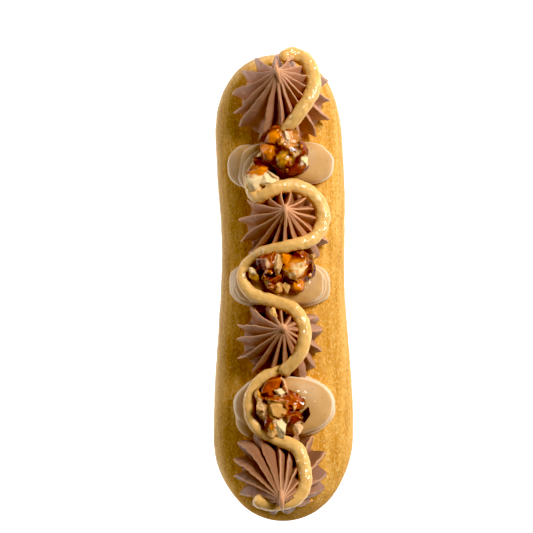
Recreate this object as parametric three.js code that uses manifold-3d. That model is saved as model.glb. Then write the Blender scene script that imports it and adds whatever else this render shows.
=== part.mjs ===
// An eclair: a baked choux log that carries four star-piped chocolate rosettes and three
// vanilla cream dollops in turn, caramelised hazelnuts on the dollops, and a praline line
// that snakes over them all. Millimetres, +Z up, +Y along the log, the flat base on Z = 0.
import * as THREE from "three";
import { mergeVertices } from "three/addons/utils/BufferGeometryUtils.js";
import Module from "manifold-3d";

const wasm = await Module();
wasm.setup();

// Choux log: its length, heights, and half widths at three stations along Y.
const LENGTH = 140;
const CROWN = 28;
const BELLY = 13;
const KEEL = 19; // depth of the round underside below the belly line, before the tray flattens it
const HEAD = { at: 35, half: 19.2, end: 26, power: 2.2 };
const WAIST = { at: 7.8, half: 18.4 };
const FOOT = { at: -39.3, half: 20.9, end: 25.5, power: 2 };
const CROWN_END = { length: 20, power: 2.4 };
const SECTION_POWER = 2.5;
const HEAD_DRIFT = { reach: -1.6, from: 10, to: 58 }; // the head lies a little to the left
const CHOUX_SIDES = 24;
const CHOUX_STATIONS = 28;

// Pieces that touch keep this much air between them.
const GAP = 0.3;

// Chocolate rosettes: a star nozzle's teeth, pulled up to a tip that leans. Heights are shares
// of a rosette's height, reaches are shares of its half size, and a groove's depth is a share
// of the reach there.
const TEETH = 15;
const ROOT_REACH = 0.79;
const RIM_RISE = 0.17;
const CREST_POWER = 1.4;
const GROOVE = { root: 0.05, rim: 0.38, flank: 0.52 };
const TOOTH_UNEVEN = 0.09;
const LEAN_POWER = 1.8;
const SAG_LIMIT = 8; // however steep the choux falls away, a rim hangs no lower than this
const BURIED = -0.3;
const RINGS_AT = [BURIED, 0.04, RIM_RISE, 0.35, 0.55, 0.77, 0.94];
const ROSETTES = [
  { name: "rosette_1", at: [-0.4, 54.4], half: [15.6, 15.2], height: 17.5, lean: [-1.6, 7.2], turn: 1 },
  { name: "rosette_2", at: [0.2, 17.9], half: [14.2, 13.8], height: 17.5, lean: [0.2, 4.7], turn: 2 },
  { name: "rosette_3", at: [-1.3, -15.5], half: [13.9, 13.6], height: 16, lean: [1.0, 4.3], turn: 13 },
  { name: "rosette_4", at: [-1.2, -52.9], half: [14.8, 14.4], height: 16.5, lean: [0.5, -6.6], turn: -2 },
];

// Vanilla dollops: soft flat layers with round rims, each laid over the one before. A layer's
// foot and top are heights above the choux, and its middle domes up a little more. The corner
// power is 2 for an oval plan, and more for a squarer one.
const LAYER_SIDES = 18;
const LAYER_RINGS = 7;
const LAYER_POWER = 3.6;
const LAYER_DOME = 0.7;
const DOLLOPS = [
  {
    name: "dollop_1",
    corner: 2.3,
    layers: [
      { at: [-10.0, 35.8], half: [6.4, 6.3], foot: -2.5, top: 3.0 },
      { at: [-5.2, 34.0], half: [7.7, 7.7], foot: -1.0, top: 5.6 },
      { at: [3.8, 36.3], half: [11.0, 6.4], foot: -2.5, top: 6.8 },
    ],
  },
  {
    name: "dollop_2",
    corner: 2.9,
    layers: [
      { at: [-1.3, 1.0], half: [15.1, 6.9], foot: -2.5, top: 3.3 },
      { at: [-1.3, 1.2], half: [14.1, 6.5], foot: 1.2, top: 5.2 },
      { at: [-1.2, 1.4], half: [13.1, 6.2], foot: 3.0, top: 6.6 },
    ],
  },
  {
    name: "dollop_3",
    corner: 2.2,
    layers: [
      { at: [-8.6, -38.0], half: [5.4, 5.6], foot: -2.5, top: 2.8 },
      { at: [0.3, -34.2], half: [14.9, 9.2], foot: -2.5, top: 4.2 },
      { at: [1.5, -33.8], half: [13.3, 8.4], foot: 1.4, top: 6.8 },
    ],
  },
];

// Praline line: two piped strokes, by the places that each passes over in plan, with a lift
// where the line lies higher or lower than usual. It runs under the nuts of the first dollop,
// and the second stroke starts under the end of the first.
const STROKE_RADIUS = 1.95;
const STROKE_SIDES = 8;
const STROKE_STEP = 3.1;
const STROKE_SINK = 0.9;
const STROKE_EASE = 6; // rounds of easing that stiffen the line where it bridges a dip
const STROKES = [
  {
    name: "praline_line_1",
    route: [
      [0.4, 67.0, -1.2], [3.0, 67.6, -1.2], [6.5, 65.4, -0.6], [8.4, 61.0, -0.2], [8.1, 56.4],
      [5.6, 52.0], [1.2, 46.2], [-5.8, 38.0, -1.6], [-9.6, 31.2, -1.6], [-7.4, 26.4],
      [-1.5, 29.0], [4.6, 29.2], [9.7, 25.4], [11.2, 19.5], [8.1, 14.3], [0.9, 12.1],
      [-7.2, 10.0], [-11.9, 4.8], [-9.8, -0.9], [-3.2, -3.5],
      [3.0, -6.0], [5.9, -12.0], [4.4, -18.7], [0.4, -23.1],
    ],
  },
  {
    name: "praline_line_2",
    route: [
      [0.6, -22.7, -1.8], [-6.7, -26.4], [-9.9, -32.8], [-8.1, -39.6], [-2.0, -43.2],
      [3.8, -45.7], [5.9, -51.8], [5.6, -56.6, -0.8], [3.4, -59.7, -2.0], [-0.4, -61.2, -3.2],
      [-4.0, -61.4, -2.0], [-6.9, -60.8, -1.2],
    ],
  },
];

// Hazelnuts in caramel. Each clump is fused from pieces: place in plan, half sizes, turn in
// degrees, and rise of the piece's middle above the dollop's top under the clump's first
// piece, which is the pool of caramel that joins the rest. Round pieces are whole nuts under
// caramel, the others are broken.
const CLUMPS = [
  {
    name: "nut_clump_1",
    dollop: 0,
    pieces: [
      { at: [0.2, 39.2], half: [5.6, 5.8, 2.8], turn: 0, rise: 1.6, round: true },
      { at: [-2.4, 43.0], half: [2.9, 2.5, 2.8], turn: 20, rise: 3.0, round: true },
      { at: [1.8, 42.5], half: [3.0, 2.9, 3.0], turn: 70, rise: 3.0, round: true },
      { at: [-4.4, 39.2], half: [2.4, 3.2, 2.8], turn: 25, rise: 2.7, round: true },
      { at: [0.0, 37.0], half: [2.7, 2.6, 2.8], turn: 40, rise: 3.0, round: true },
      { at: [3.5, 34.6], half: [3.3, 1.9, 2.2], turn: 18, rise: 1.8, round: false },
      { at: [3.0, 38.8], half: [1.7, 1.6, 2.0], turn: 10, rise: 3.2, round: false },
      { at: [5.8, 36.7], half: [1.6, 1.6, 1.6], turn: 35, rise: 2.4, round: false },
    ],
  },
  {
    name: "nut_half_1",
    dollop: 0,
    pieces: [
      { at: [-6.2, 31.0], half: [5.0, 2.9, 2.8], turn: 4, rise: 2.4, round: true },
      { at: [-7.0, 33.8], half: [3.6, 2.1, 2.6], turn: 10, rise: 2.2, round: false },
    ],
  },
  {
    name: "nut_clump_2_left",
    dollop: 1,
    pieces: [
      { at: [-3.6, 5.0], half: [3.8, 5.0, 2.4], turn: 10, rise: 0.8, round: true },
      { at: [-3.6, 8.1], half: [4.0, 3.7, 3.2], turn: -10, rise: 2.0, round: true },
      { at: [-1.9, 7.4], half: [1.3, 3.0, 2.0], turn: -4, rise: 3.9, round: false },
      { at: [0.2, 9.0], half: [1.9, 2.8, 2.6], turn: 20, rise: 2.3, round: false },
      { at: [-2.8, 3.4], half: [2.4, 1.9, 2.2], turn: 30, rise: 1.8, round: false },
      { at: [-4.6, 2.0], half: [1.0, 2.8, 1.6], turn: 22, rise: 1.3, round: false },
      { at: [-1.7, 0.5], half: [1.5, 1.6, 1.7], turn: 15, rise: 1.2, round: false },
    ],
  },
  {
    name: "nut_piece_2",
    dollop: 1,
    pieces: [{ at: [-8.5, 4.2], half: [2.3, 2.0, 1.8], turn: -35, rise: 1.1, round: false }],
  },
  {
    name: "nut_clump_2_right",
    dollop: 1,
    pieces: [
      { at: [4.0, 4.8], half: [4.2, 4.6, 2.4], turn: 0, rise: 0.8, round: true },
      { at: [4.5, 9.6], half: [2.5, 1.8, 2.4], turn: 15, rise: 1.8, round: false },
      { at: [3.6, 5.9], half: [4.2, 3.3, 2.8], turn: 20, rise: 2.2, round: true },
      { at: [4.1, 4.9], half: [2.9, 2.8, 2.3], turn: 20, rise: 3.2, round: false },
      { at: [4.1, 1.2], half: [2.1, 2.2, 2.1], turn: -15, rise: 1.7, round: false },
      { at: [1.0, 0.9], half: [1.6, 1.9, 1.7], turn: 5, rise: 1.4, round: false },
      { at: [7.6, 6.0], half: [1.4, 2.7, 2.0], turn: 14, rise: 1.5, round: false },
    ],
  },
  {
    name: "nut_clump_3",
    dollop: 2,
    pieces: [
      { at: [-1.4, -34.2], half: [6.2, 6.4, 2.5], turn: 0, rise: 1.0, round: true },
      { at: [-3.0, -27.7], half: [1.7, 4.0, 1.9], turn: -45, rise: 1.8, round: false },
      { at: [-7.4, -30.6], half: [1.0, 1.9, 1.6], turn: 12, rise: 1.0, round: false },
      { at: [2.8, -32.8], half: [2.6, 2.7, 2.4], turn: 22, rise: 1.8, round: false },
      { at: [3.1, -36.6], half: [2.5, 2.0, 2.0], turn: 10, rise: 1.5, round: false },
      { at: [-2.3, -33.5], half: [3.0, 2.9, 2.7], turn: 10, rise: 2.6, round: false },
      { at: [-6.0, -34.4], half: [1.8, 3.2, 2.2], turn: 22, rise: 1.5, round: false },
      { at: [-1.4, -39.5], half: [2.9, 3.0, 2.4], turn: 20, rise: 1.7, round: false },
      { at: [4.0, -39.9], half: [1.6, 2.2, 1.7], turn: -8, rise: 1.3, round: false },
      { at: [6.6, -36.3], half: [1.4, 2.5, 1.7], turn: -22, rise: 1.4, round: false },
    ],
  },
];
const ROUND_UNEVEN = 0.08;
const BROKEN_UNEVEN = 0.2;
const BROKEN_SWELL = 1.14; // a broken piece has few facets, which lie inside its half sizes

// Looks of the plain solids.
const LOOKS = {
  choux: { color: 0xe0a455, roughness: 0.75 },
  rosette: { color: 0x8f5a3c, roughness: 0.5 },
  dollop: { color: 0xd9b183, roughness: 0.4 },
  praline: { color: 0xd9a85f, roughness: 0.3 },
  nut: { color: 0xa5591f, roughness: 0.25 },
};

// Plain helpers.

const lerp = THREE.MathUtils.lerp;

function smooth(t) {
  return THREE.MathUtils.smoothstep(t, 0, 1);
}

// A number from 0 to 1 that is always the same for the same two keys.
function draw(key, seed) {
  const wave = Math.sin(key * 12.9898 + seed * 78.233) * 43758.5453;
  return wave - Math.floor(wave);
}

// Rises from 0 at t = 0 to 1 at t = 1 as a rounded end does.
function roundOff(t, power) {
  const left = 1 - THREE.MathUtils.clamp(t, 0, 1);
  return (1 - left ** power) ** (1 / power);
}

// |value| raised to a power, with the sign kept.
function signedPower(value, power) {
  return Math.sign(value) * Math.abs(value) ** power;
}

// Moves every vertex of a geometry by a function of its place.
function reshape(geometry, move) {
  const points = geometry.getAttribute("position");
  const place = new THREE.Vector3();
  for (let i = 0; i < points.count; i++) {
    move(place.fromBufferAttribute(points, i));
    points.setXYZ(i, place.x, place.y, place.z);
  }
  return geometry;
}

// A closed geometry as a solid that can be joined and cut.
function solidOf(geometry) {
  const bare = new THREE.BufferGeometry();
  bare.setAttribute("position", geometry.getAttribute("position"));
  bare.setIndex(geometry.index);
  const merged = mergeVertices(bare, 1e-4);
  const corners = merged.index.array;
  const kept = [];
  for (let i = 0; i < corners.length; i += 3) {
    const [a, b, c] = corners.slice(i, i + 3);
    if (a !== b && b !== c && c !== a) kept.push(a, b, c);
  }
  const mesh = new wasm.Mesh({
    numProp: 3,
    vertProperties: new Float32Array(merged.getAttribute("position").array),
    triVerts: new Uint32Array(kept),
  });
  return new wasm.Manifold(mesh);
}

function geometryOf(solid) {
  const mesh = solid.getMesh();
  const geometry = new THREE.BufferGeometry();
  geometry.setAttribute("position", new THREE.BufferAttribute(mesh.vertProperties, 3));
  geometry.setIndex(new THREE.BufferAttribute(mesh.triVerts, 1));
  geometry.computeVertexNormals();
  return geometry;
}

function fuse(solids) {
  return solids.reduce((whole, next) => whole.add(next));
}

// Cuts a solid clear of others and drops the loose scraps that the cuts leave.
function carve(solid, cutters) {
  const cut = cutters.reduce((rest, cutter) => rest.subtract(cutter), solid);
  return cut.decompose().reduce((best, next) => (next.volume() > best.volume() ? next : best));
}

// Choux log.

function centreLine(y) {
  return HEAD_DRIFT.reach * smooth((y - HEAD_DRIFT.from) / (HEAD_DRIFT.to - HEAD_DRIFT.from));
}

function fromEnd(y) {
  return LENGTH / 2 - Math.abs(y);
}

function halfWidth(y) {
  const side = y > WAIST.at ? HEAD : FOOT;
  const body = lerp(WAIST.half, side.half, smooth((y - WAIST.at) / (side.at - WAIST.at)));
  const end = y > 0 ? HEAD : FOOT;
  return body * roundOff(fromEnd(y) / end.end, end.power);
}

function crownRise(y) {
  return (CROWN - BELLY) * roundOff(fromEnd(y) / CROWN_END.length, CROWN_END.power);
}

// Height of the choux's top at a place in plan.
function chouxTop(x, y) {
  const half = halfWidth(y);
  const share = half > 0 ? Math.min(1, Math.abs(x - centreLine(y)) / half) : 1;
  return BELLY + crownRise(y) * (1 - share ** SECTION_POWER) ** (1 / SECTION_POWER);
}

// The log, grown by a margin all round: a ball's rings become sections across the log.
function chouxSolid(margin) {
  const ball = new THREE.SphereGeometry(1, CHOUX_SIDES, CHOUX_STATIONS);
  reshape(ball, (p) => {
    const y = THREE.MathUtils.clamp(p.y, -1, 1) * (LENGTH / 2);
    const ring = Math.hypot(p.x, p.z);
    const across = ring > 1e-6 ? signedPower(p.x / ring, 2 / SECTION_POWER) : 0;
    const up = ring > 1e-6 ? signedPower(p.z / ring, 2 / SECTION_POWER) : 0;
    const rise = up > 0 ? crownRise(y) : KEEL * roundOff(fromEnd(y) / FOOT.end, FOOT.power);
    const grown = ring > 1e-6 ? margin : 0;
    p.x = centreLine(y) + across * (halfWidth(y) + grown);
    p.z = BELLY + up * (rise + grown);
    p.y = y * (1 + margin / (LENGTH / 2));
  });
  return solidOf(ball).trimByPlane([0, 0, 1], -margin);
}

// Chocolate rosettes.

// Reach of the crests at a height.
function crestReach(share) {
  if (share <= RIM_RISE) return lerp(ROOT_REACH, 1, smooth(share / RIM_RISE));
  return 1 - ((share - RIM_RISE) / (1 - RIM_RISE)) ** CREST_POWER;
}

function grooveDepth(share) {
  if (share <= RIM_RISE) return lerp(GROOVE.root, GROOVE.rim, smooth(share / RIM_RISE));
  return lerp(GROOVE.rim, GROOVE.flank, smooth((2 * (share - RIM_RISE)) / (1 - RIM_RISE)));
}

// Reach of a rosette at an angle and a height: the whole of it on a crest, less in a groove.
function toothReach(angle, share, seed) {
  const phase = (angle / (2 * Math.PI)) * TEETH;
  const tooth = Math.round(phase);
  const away = 2 * Math.abs(phase - tooth);
  const key = ((tooth % TEETH) + TEETH) % TEETH;
  const uneven = TOOTH_UNEVEN * (draw(key, seed) - 0.6) * (1 - away);
  return crestReach(share) * (1 + uneven - grooveDepth(share) * away);
}

// Where the middle of a rosette is at a share of its height.
function leanAt(rosette, share) {
  const bend = Math.max(0, share) ** LEAN_POWER;
  return [rosette.at[0] + rosette.lean[0] * bend, rosette.at[1] + rosette.lean[1] * bend];
}

// Height of a rosette's seat at a place in plan: it sags with the choux, up to a limit.
function seatAt(rosette, x, y) {
  const seat = chouxTop(...rosette.at);
  const drop = seat - chouxTop(x, y);
  return seat - SAG_LIMIT * (1 - Math.exp(-drop / SAG_LIMIT));
}

function rosetteSolid(rosette, seed) {
  const side = RINGS_AT.map((share) => new THREE.Vector2(1, share));
  const profile = [new THREE.Vector2(0, BURIED), ...side, new THREE.Vector2(0, 1)];
  const star = new THREE.LatheGeometry(profile, 2 * TEETH, Math.PI / 2).rotateX(Math.PI / 2);
  const seat = chouxTop(...rosette.at);
  const turn = THREE.MathUtils.degToRad(rosette.turn);
  reshape(star, (p) => {
    const share = p.z;
    const angle = Math.atan2(p.y, p.x);
    const reach = Math.hypot(p.x, p.y) * toothReach(angle, share, seed);
    const [middleX, middleY] = leanAt(rosette, share);
    p.x = middleX + rosette.half[0] * reach * Math.cos(angle + turn);
    p.y = middleY + rosette.half[1] * reach * Math.sin(angle + turn);
    p.z = rosette.height * share + lerp(seatAt(rosette, p.x, p.y), seat, Math.max(0, share));
  });
  return solidOf(star);
}

// Height of the crests' envelope at a place in plan, or the choux where the rosette isn't.
function rosetteTop(rosette, x, y) {
  const seat = chouxTop(...rosette.at);
  const steps = 60;
  for (let i = steps; i > 0; i--) {
    const share = lerp(RIM_RISE, 1, i / steps);
    const [middleX, middleY] = leanAt(rosette, share);
    const out = Math.hypot((x - middleX) / rosette.half[0], (y - middleY) / rosette.half[1]);
    if (out <= crestReach(share)) {
      return rosette.height * share + lerp(seatAt(rosette, x, y), seat, share);
    }
  }
  return chouxTop(x, y);
}

// Vanilla dollops.

// One layer, grown by a margin: a flattened ball that follows the choux it lies on.
function layerSolid(layer, corner, margin) {
  const ball = new THREE.SphereGeometry(1, LAYER_SIDES, LAYER_RINGS).rotateX(Math.PI / 2);
  const middle = (layer.top + layer.foot) / 2;
  const thick = (layer.top - layer.foot) / 2 + margin;
  reshape(ball, (p) => {
    const ring = Math.hypot(p.x, p.y);
    const flat = ring > 1e-6 ? ring ** (2 / LAYER_POWER) : 0;
    const across = ring > 1e-6 ? signedPower(p.x / ring, 2 / corner) : 0;
    const along = ring > 1e-6 ? signedPower(p.y / ring, 2 / corner) : 0;
    const dome = p.z > 0 ? LAYER_DOME * (1 - flat ** 2) : 0;
    p.x = layer.at[0] + across * flat * (layer.half[0] + margin);
    p.y = layer.at[1] + along * flat * (layer.half[1] + margin);
    p.z = chouxTop(p.x, p.y) + middle + thick * signedPower(p.z, 2 / LAYER_POWER) + dome;
  });
  return solidOf(ball);
}

function dollopSolid(dollop, margin) {
  return fuse(dollop.layers.map((layer) => layerSolid(layer, dollop.corner, margin)));
}

function dollopTop(dollop, x, y) {
  const heights = dollop.layers.map((layer) => {
    const across = Math.abs(x - layer.at[0]) / layer.half[0];
    const along = Math.abs(y - layer.at[1]) / layer.half[1];
    const out = (across ** dollop.corner + along ** dollop.corner) ** (1 / dollop.corner);
    const thick = (layer.top - layer.foot) / 2;
    const rise = Math.max(0, 1 - out ** LAYER_POWER) ** (1 / LAYER_POWER);
    return out < 1 ? layer.foot + thick * (1 + rise) + LAYER_DOME * (1 - out ** 2) : 0;
  });
  return chouxTop(x, y) + Math.max(0, ...heights);
}

// Praline line.

// Height of whatever carries the line at a place in plan.
function carrierTop(x, y) {
  return Math.max(
    ...ROSETTES.map((rosette) => rosetteTop(rosette, x, y)),
    ...DOLLOPS.map((dollop) => dollopTop(dollop, x, y)),
  );
}

// The stroke's middle line: its route laid on what carries it, then eased along its length.
function strokeCurve(stroke) {
  const plan = new THREE.CatmullRomCurve3(
    stroke.route.map(([x, y, lift = 0]) => new THREE.Vector3(x, y, lift)),
    false,
    "centripetal",
  );
  const points = plan.getSpacedPoints(Math.round(plan.getLength() / STROKE_STEP));
  for (const p of points) p.z += carrierTop(p.x, p.y) + STROKE_RADIUS - STROKE_SINK;
  for (let round = 0; round < STROKE_EASE; round++) {
    const before = points.map((p) => p.z);
    for (let i = 1; i < points.length - 1; i++) {
      points[i].z = (before[i - 1] + 2 * before[i] + before[i + 1]) / 4;
    }
  }
  return new THREE.CatmullRomCurve3(points, false, "centripetal");
}

function strokeSolid(stroke, margin) {
  const curve = strokeCurve(stroke);
  const radius = STROKE_RADIUS + margin;
  const section = new THREE.Shape().absarc(0, 0, radius, 0, 2 * Math.PI);
  const steps = Math.round(curve.getLength() / STROKE_STEP);
  const tube = new THREE.ExtrudeGeometry(section, {
    steps,
    curveSegments: STROKE_SIDES / 2, // an arc gets two sides for each
    extrudePath: curve,
  });
  const ends = [0, 1].map((t) => {
    const end = curve.getPointAt(t);
    return solidOf(new THREE.IcosahedronGeometry(radius, 1).translate(end.x, end.y, end.z));
  });
  return fuse([solidOf(tube), ...ends]);
}

// Nuts.

function pieceSolid(piece, level, seed, margin) {
  const ball = new THREE.IcosahedronGeometry(1, piece.round ? 1 : 0);
  const uneven = piece.round ? ROUND_UNEVEN : BROKEN_UNEVEN;
  const size = piece.round ? 1 : BROKEN_SWELL;
  const turn = THREE.MathUtils.degToRad(piece.turn);
  const middle = level + piece.rise;
  reshape(ball, (p) => {
    const key = Math.round(p.x * 50) + 7 * Math.round(p.y * 50) + 13 * Math.round(p.z * 50);
    const swell = size + uneven * (2 * draw(key, seed) - 1);
    const x = p.x * (piece.half[0] * swell + margin);
    const y = p.y * (piece.half[1] * swell + margin);
    p.z = middle + p.z * (piece.half[2] * swell + margin);
    p.x = piece.at[0] + x * Math.cos(turn) - y * Math.sin(turn);
    p.y = piece.at[1] + x * Math.sin(turn) + y * Math.cos(turn);
  });
  return solidOf(ball);
}

function clumpSolid(clump, margin) {
  const level = dollopTop(DOLLOPS[clump.dollop], ...clump.pieces[0].at);
  return fuse(clump.pieces.map((piece, i) => pieceSolid(piece, level, i + 1, margin)));
}

// The whole eclair. Later pieces are cut clear of the ones that press into them.

const eclair = new THREE.Group();

function place(name, solid, look) {
  const mesh = new THREE.Mesh(geometryOf(solid), new THREE.MeshStandardMaterial(look));
  mesh.name = name;
  eclair.add(mesh);
}

const chouxRoom = chouxSolid(GAP);
const strokeRooms = STROKES.map((stroke) => strokeSolid(stroke, GAP));
const clumpRooms = CLUMPS.map((clump) => clumpSolid(clump, GAP));
const dollopRooms = DOLLOPS.map((dollop) => dollopSolid(dollop, GAP));

place("choux", chouxSolid(0), LOOKS.choux);
STROKES.forEach((stroke, i) => {
  place(stroke.name, carve(strokeSolid(stroke, 0), [chouxRoom, ...strokeRooms.slice(0, i)]), LOOKS.praline);
});
CLUMPS.forEach((clump, i) => {
  const others = clumpRooms.slice(0, i);
  place(clump.name, carve(clumpSolid(clump, 0), [...strokeRooms, ...others]), LOOKS.nut);
});
DOLLOPS.forEach((dollop) => {
  place(dollop.name, carve(dollopSolid(dollop, 0), [chouxRoom, ...strokeRooms, ...clumpRooms]), LOOKS.dollop);
});
ROSETTES.forEach((rosette, i) => {
  const cutters = [chouxRoom, ...strokeRooms, ...clumpRooms, ...dollopRooms];
  place(rosette.name, carve(rosetteSolid(rosette, i + 1), cutters), LOOKS.rosette);
});

export default eclair;
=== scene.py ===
import math

import bmesh
import bpy
import numpy as np
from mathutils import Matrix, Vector, noise
from mathutils.bvhtree import BVHTree


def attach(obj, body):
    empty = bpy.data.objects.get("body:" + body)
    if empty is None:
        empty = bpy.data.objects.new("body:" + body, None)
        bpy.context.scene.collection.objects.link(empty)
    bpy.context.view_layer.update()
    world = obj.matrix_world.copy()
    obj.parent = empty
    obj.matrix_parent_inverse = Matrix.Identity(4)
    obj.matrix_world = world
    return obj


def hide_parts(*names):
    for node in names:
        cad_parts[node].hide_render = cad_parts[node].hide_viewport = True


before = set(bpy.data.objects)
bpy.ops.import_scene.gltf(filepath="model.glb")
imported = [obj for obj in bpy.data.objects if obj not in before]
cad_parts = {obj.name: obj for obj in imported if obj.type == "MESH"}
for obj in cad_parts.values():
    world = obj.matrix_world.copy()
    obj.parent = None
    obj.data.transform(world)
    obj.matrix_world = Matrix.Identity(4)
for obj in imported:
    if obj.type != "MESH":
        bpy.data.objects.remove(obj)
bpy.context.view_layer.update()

# Shapes are worked out in millimetres, in the frame's own axes: +Y along the log, +Z up.
MM = 0.001

# Unevenness is given as a height and the size of its features. It and the fixed draws go by a seed,
# which steps on from piece to piece.
SEED_STEPS = {"swirl": 1, "cream": 10, "rope": 30, "nuts": 70}
NUT_SEED_STEP = 5
CRUMB_SEED = 400
SEED_SHIFT = 17.3
HASH = {"key": 12.9898, "seed": 78.233, "height": 43758.5453}

# Choux log, as in the solids, with an uneven crust that is drawn out along the log.
LENGTH = 140
CROWN = 28
BELLY = 13
KEEL = 19
HEAD = {"at": 35, "half": 19.2, "end": 26, "power": 2.2}
WAIST = {"at": 7.8, "half": 18.4}
FOOT = {"at": -39.3, "half": 20.9, "end": 25.5, "power": 2}
CROWN_END = {"length": 20, "power": 2.4}
SECTION_POWER = 2.5
HEAD_DRIFT = {"reach": -1.6, "from": 10, "to": 58}
CHOUX_SIDES = 180
CHOUX_STATIONS = 240
CRUST_WAVE = (0.3, 7)
CRUST_LUMP = (0.12, 3.2)
CRUST_GRAIN = (0.05, 1.2)
CRUST_STRETCH = (1, 0.3, 1)
CRUST_FADE = 6

# Chocolate rosettes: as in the solids, with finer fins. Heights are shares of a rosette's height,
# and a fade goes from nothing at its first share to all at its second.
TEETH = 15
RIM_RISE = 0.17
SKIRT_RISE = 0.2
ROOT_REACH = 0.79
CREST_POWER = 1.4
GROOVE = {"root": 0.05, "rim": 0.38, "flank": 0.52}
TOOTH_UNEVEN = 0.09
TOOTH_BIAS = 0.6
LEAN_POWER = 1.8
SAG_LIMIT = 8
FACE_POWER = 1
FACE_RISE = 0.25
FOLD_RISE = 0.3
BLUNT_POWER = 0.6
BLUNT_FILL = 0.45
LEAST_GAP = 0.3
HUB_FILL = 0.85
HUB_FADE = (0.7, 1)
TRIM_FADE = (0.6, 0.2)
RAG_FADE = (1, 0.75)
RAG_BIAS = 0.4
RAG_COURSE = (9.7, 26, 0)
SWAY_COURSE = (5.3, 2.6, 3)
RIPPLE_COURSE = (5.3, 23.4, 3)
SWAY_RAGGED = 0.15
TOOTH_SHIFT = 0.25
CREAM_GRAIN = (0.06, 1.6)
# The crests' painted highlight: its width in millimetres and how much of it a blunt lobe loses. Then the
# fades and spread of the webs' and lobes' painted sheen and of the grooves' painted shade.
CREST_WIDTH = 0.25
CREST_BLUNT = 0.8
WEB_FADE = (0.6, 0.95)
LOBE_FADE = (0.5, 0.3)
DARK_SPREAD = 0.4
DARK_FOOT_FADE = (0.05, 0.15)
DARK_TOP_FADE = (0.85, 0.25)
COLUMNS_PER_TOOTH = 18
BURIED = -0.3
SUNK_ROW = -0.1
ROSETTE_ROWS = 90
ROW_POWER = 0.9
ENVELOPE_STEPS = 80

# Each rosette's place, half sizes, height, lean and turn are the solids'. Its fins fold to one side,
# and are sharp at the rim, with an edge of a width in millimetres, ragged along it, and swaying. Blunt
# lobes and trimmed rims are given as angle, spread and strength. Its cream is painted darker by a share,
# as painted shade over the whole rosette, or ashen by a share, and the painted shade on the dark side of a
# groove starts at a share of the way from one crest to the next.
ROSETTES = [
    {
        "name": "rosette_1", "at": (-0.4, 54.4), "half": (15.6, 15.2), "height": 17.5, "lean": (-1.6, 7.2),
        "turn": 1, "fold": 0.25, "sharp": 2, "edge": 0.16, "ragged": 0.3, "sway": 0.35,
        "dull": 0, "ash": 0.5, "dark": 0.65,
    },
    {
        "name": "rosette_2", "at": (0.2, 17.9), "half": (14.2, 13.8), "height": 17.5, "lean": (0.2, 4.7),
        "turn": 2, "fold": 0.3, "sharp": 1.8, "edge": 0.16, "ragged": 0.3, "sway": 0.25,
        "blunt": [(0, 50, 0.3), (-42, 20, 0.9)],
        "dull": 0, "ash": 0, "dark": 0.35,
    },
    {
        "name": "rosette_3", "at": (-1.3, -15.5), "half": (13.9, 13.6), "height": 16, "lean": (1, 4.3),
        "turn": 13, "fold": 0.3, "sharp": 1.8, "edge": 0.2, "ragged": 0.3, "sway": 0.28,
        "blunt": [(28, 24, 1), (-10, 25, 0.4), (-52, 24, 1)],
        "dull": 0.35, "ash": 0.1, "dark": 0.3,
    },
    {
        "name": "rosette_4", "at": (-1.2, -52.9), "half": (14.8, 14.4), "height": 16.5, "lean": (0.5, -6.6),
        "turn": -2, "fold": -0.3, "sharp": 1, "edge": 0.3, "ragged": 0.5, "sway": 0.3,
        "blunt": [(-35, 50, 0.8), (-95, 45, 1), (60, 25, 0.4), (125, 20, 0.9)],
        "trim": [(-92, 50, 0.14)],
        "dull": 0.75, "ash": 0, "dark": 0.4,
    },
]

# The cream's last pull at each tip: places from the tip, and the strand's radius there.
TIP_STEP = 0.15
TIP_SIDES = 20
# How strong the painted highlight on the strand at the tip is.
TIP_HIGHLIGHT = 0.7
TIPS = {
    "rosette_1": [
        (-0.3, 1.2, -1.2, 0.6), (0, -0.2, -0.3, 0.6), (0.5, -2, -0.9, 0.45), (0.8, -3.6, -2.2, 0.2),
    ],
    "rosette_2": [
        (0, 0.8, -0.9, 0.6), (0, -0.3, -0.2, 0.55), (0.1, -2.4, -0.6, 0.35), (0.25, -4.9, -2.2, 0.2),
    ],
    "rosette_3": [
        (-0.6, 0.6, -0.9, 0.6), (-0.2, 0.7, -0.1, 0.85), (0.3, 0.2, 0, 0.9), (0.4, -0.6, -0.5, 0.6),
    ],
    "rosette_4": [
        (-0.1, 2.2, -0.9, 0.6), (0, 0.4, -0.2, 0.75), (0.05, -1.2, -0.5, 0.7), (0.1, -2.6, -1.6, 0.4),
    ],
}

# Vanilla dollops: the solids' layers, or thinner ones in their place, with pale lips, a painted highlight
# on their rims. A lip is a band of a width at a share of the layer's reach, on the rim from a share of its
# half thickness up.
LAYER_POWER = 3.6
LAYER_DOME = 0.7
LAYER_SIDES = 160
LAYER_RINGS = 48
LAYER_WAVE = (0.05, 0.6)
LAYER_RIPPLE = (0.012, 0.2)
LAYER_LUMP = (0.15, 4)
WAVE_RISE = 0.3
LIP_REACH = 0.985
LIP_WIDTH = 0.03
LIP_LOWEST = -0.3


# A layer: its place in plan, half sizes, and the heights of its foot and top above the choux.
def slab(at, half, foot, top):
    return {"at": at, "half": half, "foot": foot, "top": top}


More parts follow.
